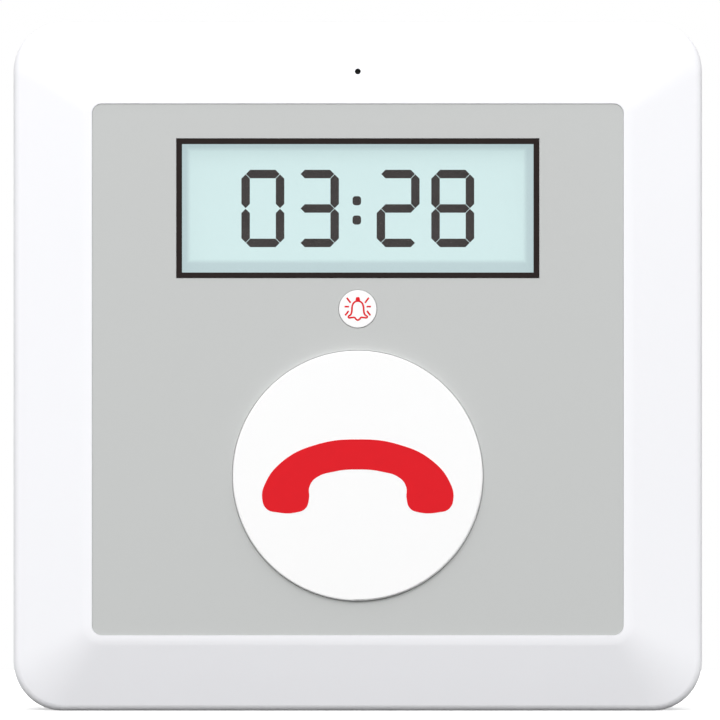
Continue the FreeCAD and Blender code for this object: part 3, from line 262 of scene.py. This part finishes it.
def moulded_white(name, color=WHITE, roughness=0.4, dust=0.012):
    finish = Finish(name, color)
    clouds = finish.noise(45 * MM, 3)
    tint = finish.blend(clouds, shade(color, 0.985), shade(color, 1.012))
    speck = 1 - finish.cells(9 * MM).above(dust, 0.012)
    patch = finish.noise(30 * MM).above(0.56, 0.1)
    finish.set("Base Color", finish.blend(speck * patch * 0.6, tint, DUST))
    finish.set("Roughness", finish.noise(4 * MM, 3) * 0.12 + (roughness - 0.06))
    finish.set("IOR", ABS_INDEX)
    return finish.bump(finish.noise(0.22 * MM, 1), 0.006 * MM)


casing_white = moulded_white("casing_white")
print("white casing:", len(casing_white.tree.nodes), "nodes")

# %% [markdown]
# ## Grey front sheet
# The sheet is thin polycarbonate, printed light grey on its back and lightly frosted on
# its front. It is even in tone, with a grain far finer than the casing's.

# %% Frosted grey sheet
GREY = (0.529, 0.541, 0.535)
fascia_grey = Finish("fascia_grey", GREY)
mottle = fascia_grey.noise(0.5 * MM, 2)
fascia_grey.set("Base Color", fascia_grey.blend(mottle, shade(GREY, 0.992), shade(GREY, 1.008)))
fascia_grey.set("Roughness", fascia_grey.noise(2.5 * MM, 2) * 0.08 + 0.46)
fascia_grey.bump(fascia_grey.noise(0.12 * MM, 1), 0.003 * MM)

# %% [markdown]
# ## Black frame
# The frame around the display is moulded in matt black. Deep black needs a very dark
# base and little shine, because a bright room lifts every reflection off it to grey.

# %% Black frame around the display
frame_black = Finish("frame_black", (0.020, 0.014, 0.013))
frame_black.set("Specular IOR Level", 0.07)
scuff = frame_black.noise(1.2 * MM, 3)
frame_black.set("Base Color", frame_black.blend(scuff, (0.017, 0.012, 0.011), (0.023, 0.016, 0.015)))
frame_black.set("Roughness", scuff * 0.15 + 0.4)
frame_black.bump(frame_black.noise(0.15 * MM, 1), 0.004 * MM)

# %% [markdown]
# ## The display
# The glass is a liquid crystal, pale blue-green. A darker band along the frame's edge is
# painted shade, the shade of the recess under the frame. The band is worked out from the
# distance to the display's middle, so it stays in place whatever the mesh is. Most of the
# tone is glow and the rest is what the glass reflects, so each colour is shared out
# between the emission and the base. The glow stands partly for a back light and is partly
# painted light: its share is set so high that the frame's real shadow on the glass hardly
# shows.

# %% Display glass
LCD_PALE = (0.638, 0.82, 0.822)
# Colour of the painted shade band along the frame's edge, the shade of the recess.
LCD_EDGE_SHADE = (0.497, 0.634, 0.655)
# Painted light: the share of each tone that glows. It is partly a back light, and it is set high so
# that the frame's shadow on the glass hardly shows.
LIT = 0.85
EDGE_SHADE_LIT = 0.94
VIEW_HALF = (34.2 * MM, 11.4 * MM)
VIEW_MIDDLE = (DISPLAY.x - 0.2 * MM, DISPLAY.z + 0.65 * MM)
EDGE_SHADE_BLUR = 1.2 * MM
lcd = Finish("display_glass", LCD_PALE)
across, _, up = lcd.axes()
side = abs(across - VIEW_MIDDLE[0]).above(VIEW_HALF[0], EDGE_SHADE_BLUR)
ends = abs(up - VIEW_MIDDLE[1]).above(VIEW_HALF[1], EDGE_SHADE_BLUR)
haze = lcd.noise(12 * MM, 3)
# Painted shade: the mask of the darker band along the frame's edge.
edge_shade = side.larger(ends)
pale = lcd.blend(haze, shade(LCD_PALE, 0.985 - LIT), shade(LCD_PALE, 1.01 - LIT))
lcd.set("Base Color", lcd.blend(edge_shade, pale, shade(LCD_EDGE_SHADE, 1 - EDGE_SHADE_LIT)))
lcd.set("Roughness", haze * 0.1 + 0.5)
lcd.set("Specular IOR Level", 0.2)
# The glow is partly a back light and partly painted light over the frame's shadow.
lcd.set("Emission Color", lcd.blend(edge_shade, shade(LCD_PALE, LIT), shade(LCD_EDGE_SHADE, EDGE_SHADE_LIT)))
lcd.set("Emission Strength", 1.0)
print("display view", [round(2 * half / MM, 1) for half in VIEW_HALF], "mm")

# %% [markdown]
# ### Clear window
# A thin acrylic pane covers the glass. Alpha near nothing keeps it clear, and a faint
# smear in it and in the gloss is all that shows of a pane that fingers have touched.

# %% Clear window over the glass
ACRYLIC_INDEX = 1.49
clear_window = Finish("clear_window", (0.97, 0.985, 0.985))
clear_window.set("IOR", ACRYLIC_INDEX)
smear = clear_window.noise(9 * MM, 4, (1, 1, 2))
clear_window.set("Roughness", smear * 0.1 + 0.08)
clear_window.set("Alpha", smear * 0.012 + 0.012)

# %% [markdown]
# ## The other plastics, rubbers and metals
# Most solids need only three things: a base tone that drifts by a few percent, a gloss
# that drifts with it, and the fine relief of their surface. Three makers cover them:
# `moulded` for plastics and rubbers, `metal` for bare metals with rolling or drawing
# lines, and `printed_board` for the boards with their copper tracks.

# %% Makers
def moulded(name, color, roughness=0.45, drift=0.03, lump=8 * MM, grain=0.2 * MM, depth=0.005 * MM):
    finish = Finish(name, color)
    clouds = finish.noise(lump, 3)
    finish.set("Base Color", finish.blend(clouds, shade(color, 1 - drift), shade(color, 1 + drift)))
    finish.set("Roughness", clouds * 0.14 + (roughness - 0.07))
    return finish.bump(finish.noise(grain, 2), depth)


def metal(name, color, roughness=0.3, lines=(1, 1, 1), size=0.4 * MM):
    finish = Finish(name, color, metallic=1.0)
    drawn = finish.noise(size, 3, lines)
    finish.set("Base Color", finish.blend(drawn, shade(color, 0.92), shade(color, 1.05)))
    finish.set("Roughness", drawn * 0.16 + (roughness - 0.08))
    return finish.bump(drawn, 0.004 * MM)


def printed_board(name, color, copper=(0.10, 0.30, 0.12), pitch=1.27 * MM):
    finish = Finish(name, color)
    x, y, z = finish.axes()
    rows = abs((z / pitch).math("FRACT") - 0.5).above(0.32, 0.06)
    columns = abs((x / pitch).math("FRACT") - 0.5).above(0.32, 0.06)
    upright = finish.noise(9 * MM, 0).above(0.5, 0.02)
    tracks = upright * columns + (1 - upright) * rows
    used = finish.noise(5 * MM, 1).above(0.48, 0.03)
    finish.set("Base Color", finish.blend(tracks * used, color, copper))
    finish.set("Roughness", 0.42 - tracks * used * 0.1)
    return finish.bump(tracks * used, 0.03 * MM)


# %% [markdown]
# The parts in view come first. The keys are the same white plastic as the casing, but
# without its blue tinge, the pads are matt rubber, and the inlet's pin is brass.

# %% Finishes of the parts in view
key_white = moulded_white("key_white", (0.955, 0.955, 0.955), 0.42, 0.006)
pad_rubber = moulded("black_rubber", (0.022, 0.022, 0.024), 0.75, 0.15, 3 * MM, 0.3 * MM, 0.02 * MM)
pad_rubber.set("Specular IOR Level", 0.25)
knob_black = moulded("black_plastic", (0.025, 0.025, 0.027), 0.42, 0.08)
inlet_brass = metal("brass", (0.70, 0.50, 0.22), 0.25, (0.1, 1, 1))
screw_steel = metal("screw_steel", (0.56, 0.57, 0.58), 0.28, (1, 0.2, 1))

# %% [markdown]
# The parts inside show once the case is opened, so they are finished as well. A table
# of names is enough for them, because the three makers do all the work.

# %% Finishes of the parts inside
inside = {
    "red_plastic": moulded("red_plastic", (0.45, 0.02, 0.02), 0.4),
    "led_white": moulded("led_white", (0.85, 0.84, 0.70), 0.3, 0.02, 1 * MM),
    "foam": moulded("foam", (0.05, 0.05, 0.055), 0.95, 0.3, 1.2 * MM, 0.6 * MM, 0.15 * MM),
    "battery_sleeve": moulded("battery_sleeve", (0.02, 0.10, 0.32), 0.3, 0.04, 14 * MM),
    "natural_plastic": moulded("natural_plastic", (0.74, 0.72, 0.65), 0.4, 0.02),
    "black_wire": moulded("black_wire", (0.02, 0.02, 0.022), 0.5, 0.1, 2 * MM),
    "red_wire": moulded("red_wire", (0.50, 0.03, 0.03), 0.5, 0.05, 2 * MM),
    "blue_wire": moulded("blue_wire", (0.03, 0.09, 0.42), 0.5, 0.05, 2 * MM),
    "capacitor_sleeve": moulded("capacitor_sleeve", (0.03, 0.05, 0.16), 0.35, 0.06, 3 * MM),
    "can_metal": metal("can_metal", (0.66, 0.66, 0.63), 0.32, (1, 1, 0.2)),
    "chip_black": moulded("chip_black", (0.018, 0.018, 0.02), 0.6, 0.15, 1 * MM),
    "spring_steel": metal("spring_steel", (0.50, 0.51, 0.53), 0.25, (1, 0.3, 1), 0.2 * MM),
    "contact_rubber": moulded("contact_rubber", (0.20, 0.08, 0.09), 0.7, 0.2, 0.5 * MM),
    "light_guide": moulded("light_guide", (0.86, 0.90, 0.90), 0.2, 0.01, 10 * MM),
    "green_board": printed_board("green_board", (0.015, 0.16, 0.05)),
    "aerial_board": printed_board("aerial_board", (0.02, 0.02, 0.024), (0.30, 0.17, 0.06), 2 * MM),
    "paper_cone": moulded("paper_cone", (0.06, 0.058, 0.055), 0.85, 0.2, 1.5 * MM, 0.4 * MM,
                          0.03 * MM),
    "black_metal": metal("black_metal", (0.06, 0.06, 0.065), 0.45),
    "magnet_metal": metal("magnet_metal", (0.40, 0.40, 0.41), 0.35),
}
print("finishes inside:", len(inside))

# %% [markdown]
# ## Dressing the solids
# The model's record says which material slot each solid has. The new finishes are
# filed under the names of those slots, so that one loop dresses all the solids.

# %% Give every solid the finish of its slot
finishes = dict(inside, white_casing=casing_white, grey_panel=fascia_grey,
                black_frame=frame_black, clear_window=clear_window, lcd=lcd,
                white_key=key_white, black_rubber=pad_rubber, black_plastic=knob_black,
                brass=inlet_brass, screw_steel=screw_steel)
for part in frame["record"]["subparts"]:
    mesh = nodes[part["node"]].data
    mesh.materials.clear()
    mesh.materials.append(finishes[part["material_slot"]].material)

# %% [markdown]
# ## New pieces
# The clock's digits lie in the front of the glass, and the two red signs are printed on
# the keys. They are modelled flat about the origin, in X and Z, and each one is moved
# to its place when it is finished. First come the few helpers they share.

# %% Modelling helpers
def deselect():
    bpy.ops.object.select_all(action="DESELECT")


def settle(piece):
    """Put the piece's own place, turn and scale into its mesh."""
    deselect()
    piece.select_set(True)
    bpy.context.view_layer.objects.active = piece
    bpy.ops.object.transform_apply(location=True, rotation=True, scale=True)
    return piece


def join(parts, name):
    deselect()
    for part in parts:
        part.select_set(True)
    bpy.context.view_layer.objects.active = parts[0]
    bpy.ops.object.join()
    parts[0].name = parts[0].data.name = name
    return settle(parts[0])


def finish_piece(piece, finish, body):
    piece.data.materials.clear()
    piece.data.materials.append(finish.material)
    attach(piece, body)
    print(piece.name, "faces:", len(piece.data.polygons), "rides", body)


# %% [markdown]
# ### Clock digits
# A liquid crystal digit has seven bars with pointed ends, each bar a block whose two end
# faces are drawn out and closed to an edge. The bars stand 7 mm apart both ways, which
# makes a digit of 15.7 mm, and neighbouring points stop just short of each other. They
# are real blocks and no picture, so they keep sharp edges from any distance.

# %% One bar of a digit
BAR_PITCH = 7.0 * MM
BAR_WIDTH = 1.72 * MM
BAR_GAP = 0.14 * MM
INK_DEPTH = 0.2 * MM
INK_PROUD = 0.03 * MM
INK_MIDDLE = GLASS_FACE - INK_PROUD + INK_DEPTH / 2
WELD = 0.001 * MM


def bar(u, v, upright):
    """A pointed bar about (u, v), let into the glass and a hair proud of it."""
    bpy.ops.mesh.primitive_cube_add(size=1)
    piece = bpy.context.object
    body_length = BAR_PITCH - BAR_GAP - BAR_WIDTH
    piece.scale = (body_length, INK_DEPTH, BAR_WIDTH)
    settle(piece)
    bpy.ops.object.mode_set(mode="EDIT")
    for side_sign in (-1, 1):
        bpy.ops.mesh.select_all(action="DESELECT")
        mesh = bmesh.from_edit_mesh(piece.data)
        for face in mesh.faces:
            if face.normal.x * side_sign > 0.9:
                face.select_set(True)
        bmesh.update_edit_mesh(piece.data)
        step = (side_sign * BAR_WIDTH / 2, 0, 0)
        bpy.ops.mesh.extrude_region_move(TRANSFORM_OT_translate={"value": step})
        tip = (side_sign * (body_length + BAR_WIDTH) / 2, 0, 0)
        bpy.ops.transform.resize(value=(1, 1, 0), center_override=tip)
        bpy.ops.mesh.remove_doubles(threshold=WELD)
    bpy.ops.object.mode_set(mode="OBJECT")
    if upright:
        piece.rotation_euler.y = math.radians(90)
    piece.location = (u, INK_MIDDLE, v)
    return settle(piece)


# %% [markdown]
# Each bar has a name, a place in units of the pitch, and whether it stands upright. A
# digit is told by the bars that are off in it, and the others are joined to one piece.

# %% The four digits
BARS = {
    "top": (0, 1, False), "middle": (0, 0, False), "bottom": (0, -1, False),
    "upper_left": (-0.5, 0.5, True), "upper_right": (0.5, 0.5, True),
    "lower_left": (-0.5, -0.5, True), "lower_right": (0.5, -0.5, True),
}
OFF_IN = {
    "0": {"middle"}, "2": {"upper_left", "lower_right"},
    "3": {"upper_left", "lower_left"}, "8": set(),
}
CLOCK = zip("0328", (-19.3 * MM, -8.2 * MM, 8.2 * MM, 19.3 * MM))
digit_ink = moulded("digit_ink", (0.019, 0.013, 0.012), 0.6, 0.05, 2 * MM)
digit_ink.set("Specular IOR Level", 0.1)
for index, (sign, place) in enumerate(CLOCK):
    shown = [where for name, where in BARS.items() if name not in OFF_IN[sign]]
    bars = [bar(place + u * BAR_PITCH, DISPLAY.z + v * BAR_PITCH, upright)
            for u, v, upright in shown]
    finish_piece(join(bars, f"clock_digit_{index + 1}"), digit_ink, "casing")

# %% [markdown]
# The colon's two dots are blocks as well. The four edges that run from front to back are
# picked out and bevelled, which rounds the corners of each dot.

# %% The colon
DOT_WIDTH = 1.74 * MM
DOT_HEIGHT = 1.86 * MM
DOT_ROUND = 0.6 * MM
DOT_SIDE = -0.2 * MM
DOT_HEIGHTS = (-2.35 * MM, 1.57 * MM)
dots = []
for height in DOT_HEIGHTS:
    bpy.ops.mesh.primitive_cube_add(size=1)
    dot = bpy.context.object
    dot.scale = (DOT_WIDTH, INK_DEPTH, DOT_HEIGHT)
    dot.location = (DOT_SIDE, INK_MIDDLE, DISPLAY.z + height)
    settle(dot)
    bpy.ops.object.mode_set(mode="EDIT")
    bpy.ops.mesh.select_mode(type="EDGE")
    bpy.ops.mesh.select_all(action="DESELECT")
    mesh = bmesh.from_edit_mesh(dot.data)
    for edge in mesh.edges:
        first, second = edge.verts
        if abs(first.co.y - second.co.y) > INK_DEPTH / 2:
            edge.select_set(True)
    bmesh.update_edit_mesh(dot.data)
    bpy.ops.mesh.bevel(offset=DOT_ROUND, segments=4)
    bpy.ops.mesh.select_mode(type="VERT")
    bpy.ops.object.mode_set(mode="OBJECT")
    dots.append(dot)
finish_piece(join(dots, "clock_colon"), digit_ink, "casing")

# %% [markdown]
# ### Printed signs
# Both signs start as curves, because print has smooth outlines. A filled curve makes a
# flat shape, and a curve with a round section, pressed flat, makes an ink line.

# %% Curves turned to ink
CURVE_STEPS = 16
LINE_WIDTH = 0.35 * MM


def curve(points, closed):
    """A Bezier curve through (u, v) points in millimetres, smooth at every point."""
    bpy.ops.curve.primitive_bezier_curve_add()
    drawn = bpy.context.object
    drawn.data.dimensions = "2D"
    spline = drawn.data.splines[0]
    spline.bezier_points.add(len(points) - len(spline.bezier_points))
    for point, (u, v) in zip(spline.bezier_points, points):
        point.co = (u * MM, v * MM, 0)
        point.handle_left_type = point.handle_right_type = "AUTO"
    spline.use_cyclic_u = closed
    spline.resolution_u = CURVE_STEPS
    return drawn


def to_ink(drawn, u, face, v, squeeze=1.0):
    """Turn a curve in X and Y to a mesh that stands on a face in X and Z."""
    deselect()
    drawn.select_set(True)
    bpy.context.view_layer.objects.active = drawn
    bpy.ops.object.convert(target="MESH")
    drawn = bpy.context.object
    drawn.scale = (1, 1, squeeze)
    drawn.rotation_euler.x = math.radians(90)
    drawn.location = (u, face, v)
    return settle(drawn)


def filled(points, u, face, v):
    drawn = curve(points, True)
    drawn.data.fill_mode = "BOTH"
    drawn.data.extrude = INK_PROUD
    return to_ink(drawn, u, face, v)


def stroke(points, u, face, v, closed=False):
    drawn = curve(points, closed)
    drawn.data.dimensions = "3D"
    drawn.data.bevel_depth = LINE_WIDTH / 2
    drawn.data.bevel_resolution = 3
    drawn.data.use_fill_caps = True
    return to_ink(drawn, u, face, v, 2 * INK_PROUD / LINE_WIDTH)


def mirrored(half):
    """Close a right-hand half outline whose first and last points are on the axis."""
    return half + [(-u, v) for u, v in reversed(half[1:-1])]


# %% [markdown]
# The help key has a telephone handset in red. Half of its outline is enough, because the
# other half mirrors it: the earpiece, the cheek inside it and the long arched grip.

# %% Handset sign on the help key
HANDSET_HALF = [
    (0, 7.4), (8.2, 6.4), (15.2, 3.0), (18.9, -1.8), (19.4, -4.6), (18.5, -6.7), (16.4, -7.4),
    (12.4, -7.4), (10.6, -6.6), (9.9, -4.6), (9.8, -2.2), (8.6, -0.5), (4.6, 0.9), (0, 1.3),
]
sign_red = moulded("sign_red", (0.74, 0.010, 0.018), 0.55, 0.04, 3 * MM)
sign_red.set("Specular IOR Level", 0.12)
handset = filled(mirrored(HANDSET_HALF), HELP.x, HELP_FACE, HELP.z)
handset.name = handset.data.name = "handset_sign"
finish_piece(handset, sign_red, "help_key")

# %% [markdown]
# The alarm key has a ringing bell, drawn in line. Its outline runs round the clapper as
# well, the knob on top is filled, and three short rays on each side say that it rings.

# %% Bell sign on the alarm key
BELL_HALF = [(0, 1.6), (0.72, 1.35), (1.12, 0.62), (1.22, -0.45), (1.42, -1.1), (1.9, -1.66),
             (1.2, -1.74), (0.68, -1.72), (0.4, -2.02), (0, -2.26)]
KNOB_HALF = [(0, 2.42), (0.3, 2.36), (0.4, 2.1), (0.42, 1.72), (0, 1.6)]
RAYS = [((1.46, 1.26), (2.24, 2.28)), ((1.78, 0.48), (2.68, 0.48)), ((1.86, -0.38), (2.56, -1.3))]
at = (ALARM.x, ALARM_FACE, ALARM.z)
bell = [stroke(mirrored(BELL_HALF), *at, closed=True), filled(mirrored(KNOB_HALF), *at)]
for (u0, v0), (u1, v1) in RAYS:
    for flip in (-1, 1):
        bell.append(stroke([(flip * u0, v0), (flip * u1, v1)], *at))
finish_piece(join(bell, "bell_sign"), sign_red, "alarm_key")

# %% [markdown]
# ### Mesh of the microphone, black as painted shade
# A microphone capsule wears a disc of fine black mesh on its front, which keeps dust
# out. The disc is also painted shade: it is made near black so that the small sound hole
# looks dark, as a shaded hole does, instead of metallic.

# %% Mesh disc, black as painted shade
DISC_RADIUS = 1.1 * MM
DISC_DEPTH = 0.2 * MM
DISC_EDGE = 0.06 * MM
bpy.ops.mesh.primitive_cylinder_add(vertices=48, radius=DISC_RADIUS, depth=DISC_DEPTH)
disc = bpy.context.object
disc.name = disc.data.name = "microphone_mesh_and_shade"
disc.rotation_euler.x = math.radians(90)
disc.location = (MIC.x, MIC_FACE - DISC_DEPTH / 2, MIC.z)
settle(disc)
soft_edge = disc.modifiers.new("soft_edge", "BEVEL")
soft_edge.width = DISC_EDGE
soft_edge.segments = 3
bpy.ops.object.modifier_apply(modifier="soft_edge")
# Painted shade: the disc is near black and stands for the shade in the sound hole, as well as for
# the capsule's mesh.
mesh_and_shade_black = moulded("mesh_and_shade_black", (0.03, 0.028, 0.024), 0.42, 0.3, 0.4 * MM, 0.12 * MM, 0.01 * MM)
finish_piece(disc, mesh_and_shade_black, "casing")

# %% [markdown]
# ## Floor and light
# The unit stands on a white floor in a bright, soft room. The floor glows only where it
# is in view, straight or in a reflection, so it throws no soft light up at the unit. The
# glow is painted light and is not even: next to the unit it is at half strength, which
# darkens the floor round the foot on top of the real shadow that grounds the unit, and
# further out it rises to white, which paints out the unit's cast shadow.

# %% Floor
FADE_PLACE = 7 * MM
FADE_WIDTH = 12 * MM
GLOW_NEAR = 0.5
GLOW_FAR = 0.95
bpy.ops.mesh.primitive_plane_add(size=1)
floor = bpy.context.object
floor.name = "floor"
floor.scale = (2.4, 2.0, 1)
floor.location = (0, -0.7, 0)
settle(floor)
floor_finish = moulded("floor", (0.90, 0.90, 0.90), 0.7, 0.004, 300 * MM)
floor_finish.set("Specular IOR Level", 0.1)
direct = floor_finish.in_view()
floor_finish.set("Base Color", floor_finish.blend(direct, (0.05, 0.05, 0.05), (0.9, 0.9, 0.9)))
floor_x, floor_y, _ = floor_finish.axes()
FOOT = cad_box[1]
outside = (abs(floor_x) - FOOT[0]).larger(abs(floor_y) - FOOT[1])
# Painted light: the glow grows with the distance from the unit's foot, half strength next to it and
# nearly white further out.
glow = direct * (outside.above(FADE_PLACE, FADE_WIDTH) * (GLOW_FAR - GLOW_NEAR) + GLOW_NEAR)
floor_finish.set("Emission Color", floor_finish.blend(glow, (0, 0, 0), (1, 1, 1)))
floor_finish.set("Emission Strength", 1.0)
floor.data.materials.append(floor_finish.material)

# %% [markdown]
# The room is bright in front of the unit, dim at its sides and bright again straight
# behind it, as when black cards stand beside a white product: edges that turn away pick
# up a thin grey line and show against the white ground. The ground itself is white to
# the camera, and to what gloss and glass show of it.

# %% Room
SKY_FRONT = 1.13
SKY_SIDE = 0.06
SKY_BEHIND = 2.3
world = bpy.data.worlds.new("studio")
bpy.context.scene.world = world
world.use_nodes = True
room = Nodes(world.node_tree, "Generated")
_, rearward, _ = room.axes()
sky = SKY_SIDE + (1 - rearward.above(0.1, 0.5)) * (SKY_FRONT - SKY_SIDE)
sky = sky + rearward.above(0.85, 0.2) * (SKY_BEHIND - SKY_SIDE)
seen = room.in_view()
background = room.tree.nodes["Background"]
room.link(background.inputs["Color"], (1, 1, 1))
room.link(background.inputs["Strength"], sky * (1 - seen) + seen)

# %% [markdown]
# One large lamp above and in front gives the sloping edges their different tones: the
# upper one is nearly white, and the lower one is a light grey.

# %% Lamp
LAMP = 19.6
LAMP_SIZE = (1.6, 1.2)
LAMP_PLACE = (-0.13, -1.7, 1.1)
lamp_data = bpy.data.lights.new("softbox", "AREA")
lamp_data.shape = "RECTANGLE"
lamp_data.size = LAMP_SIZE[0]
lamp_data.size_y = LAMP_SIZE[1]
lamp_data.energy = LAMP
lamp = bpy.data.objects.new("softbox", lamp_data)
bpy.context.scene.collection.objects.link(lamp)
lamp.location = LAMP_PLACE
aim = Vector((0, 0, VIEW_HEIGHT)) - lamp.location
lamp.rotation_euler = aim.to_track_quat("-Z", "Y").to_euler()
bpy.context.scene.view_settings.view_transform = "Standard"
print("sky", SKY_FRONT, "lamp", LAMP, "W")

# %% [markdown]
# ## Size of the model's solids
# The box of the model's solids is printed, in millimetres.

# %% Write the box of the solids
print("cad box", [[round(v / MM, 2) for v in corner] for corner in cad_box])
